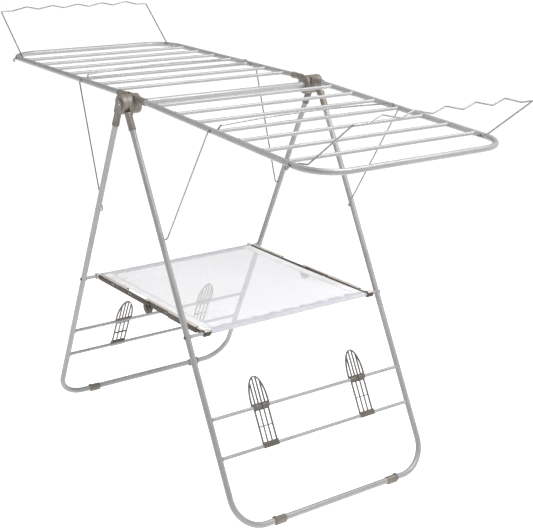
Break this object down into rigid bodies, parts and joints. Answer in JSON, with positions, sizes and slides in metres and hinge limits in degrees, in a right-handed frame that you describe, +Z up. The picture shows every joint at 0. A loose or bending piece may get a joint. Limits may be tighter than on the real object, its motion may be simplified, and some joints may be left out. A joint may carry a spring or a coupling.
{
  "type": "clothes drying rack",
  "caption": "Folding gull-wing clothes drying rack with crossed tube legs, railed wings, wire struts and hanger bails, a mesh shelf and clip-on shoe holders.",
  "frame": {"origin": "floor level, under the centre of the outer size in plan", "axes": "+X along the wings towards the drooping wing, +Y along the axle, +Z up"},
  "size_m": [1.6806, 0.6064, 1.1238],
  "materials": {
    "tube": "satin powder coat",
    "wire": "satin zinc",
    "plastic": "matt",
    "mesh": "open weave"
  },
  "bodies": {
    "frame_right": {"leg_tube_right": "tube", "shelf_rod_right": "tube", "shoe_rod_lower_right": "tube", "shoe_rod_upper_right": "tube", "foot_right_far": "plastic", "foot_right_near": "plastic", "leg_bracket_right_far": "plastic", "leg_bracket_right_near": "plastic", "shelf_rivet_right_far": "wire", "shelf_rivet_right_near": "wire", "shoe_holder_right_far": "plastic", "shoe_holder_right_near": "plastic", "axle_tube": "tube", "axle_cap_near": "plastic", "axle_cap_far": "plastic", "shelf_mesh": "mesh"},
    "frame_left": {"leg_tube_left": "tube", "shelf_rod_left": "tube", "shoe_rod_lower_left": "tube", "shoe_rod_upper_left": "tube", "foot_left_far": "plastic", "foot_left_near": "plastic", "leg_bracket_left_far": "plastic", "leg_bracket_left_near": "plastic", "shelf_rivet_left_far": "wire", "shelf_rivet_left_near": "wire", "shoe_holder_left_far": "plastic", "shoe_holder_left_near": "plastic"},
    "wing_right": {"wing_tube_right": "tube", "rail_right_1": "tube", "rail_right_2": "tube", "rail_right_3": "tube", "rail_right_4": "tube", "rail_right_5": "tube", "rail_right_6": "tube", "rail_right_7": "tube", "wing_bracket_right_far": "plastic", "wing_bracket_right_near": "plastic"},
    "wing_left": {"wing_tube_left": "tube", "rail_left_1": "tube", "rail_left_2": "tube", "rail_left_3": "tube", "rail_left_4": "tube", "rail_left_5": "tube", "rail_left_6": "tube", "rail_left_7": "tube", "wing_bracket_left_far": "plastic", "wing_bracket_left_near": "plastic"},
    "strut_right": {"strut_right": "wire"},
    "strut_left": {"strut_left": "wire"},
    "hanger_right": {"hanger_right": "wire"},
    "hanger_left": {"hanger_left": "wire"},
    "shelf_right": {"spreader_right_far": "plastic", "spreader_right_near": "plastic"},
    "shelf_left": {"spreader_left_far": "plastic", "spreader_left_near": "plastic", "spreader_pin_far": "wire", "spreader_pin_near": "wire"}
  },
  "joints": [
    {"name": "leg_fold", "type": "hinge", "parent": "frame_right", "child": "frame_left", "pos_m": [0.00609, 0, 0.9549], "axis": [0, -1, 0], "range_deg": [0, 53.5], "deforming": ["shelf_mesh"]},
    {"name": "wing_right_fold", "type": "hinge", "parent": "frame_right", "child": "wing_right", "pos_m": [0.00609, 0, 0.9549], "axis": [0, 1, 0], "range_deg": [0, 56.5]},
    {"name": "wing_left_fold", "type": "hinge", "parent": "frame_left", "child": "wing_left", "pos_m": [0.00609, 0, 0.9549], "axis": [0, -1, 0], "range_deg": [0, 62.5]},
    {"name": "strut_right_swing", "type": "hinge", "parent": "wing_right", "child": "strut_right", "pos_m": [0.37324, 0, 0.94336], "axis": [0, -1, 0], "range_deg": [0, 124.5]},
    {"name": "strut_left_swing", "type": "hinge", "parent": "wing_left", "child": "strut_left", "pos_m": [-0.26129, 0, 0.97901], "axis": [0, 1, 0], "range_deg": [0, 113.2]},
    {"name": "hanger_right_swing", "type": "hinge", "parent": "wing_right", "child": "hanger_right", "pos_m": [0.67142, 0, 0.9212], "axis": [0, -1, 0], "range_deg": [0, 136]},
    {"name": "hanger_left_swing", "type": "hinge", "parent": "wing_left", "child": "hanger_left", "pos_m": [-0.68308, 0, 0.99227], "axis": [0, 1, 0], "range_deg": [0, 136]},
    {"name": "shelf_right_fold", "type": "hinge", "parent": "frame_right", "child": "shelf_right", "pos_m": [0.28352, 0, 0.43515], "axis": [0, 1, 0], "range_deg": [0, 63.3]},
    {"name": "shelf_left_fold", "type": "hinge", "parent": "frame_left", "child": "shelf_left", "pos_m": [-0.27135, 0, 0.43515], "axis": [0, -1, 0], "range_deg": [0, 63.3]}
  ],
  "couplings": [
    {"joint": "strut_right_swing", "follows": "wing_right_fold", "ratio": 2.2005},
    {"joint": "strut_left_swing", "follows": "wing_left_fold", "ratio": 1.8076},
    {"joint": "shelf_right_fold", "follows": "leg_fold", "ratio": 1.1794},
    {"joint": "shelf_left_fold", "follows": "leg_fold", "ratio": 1.1794}
  ]
}
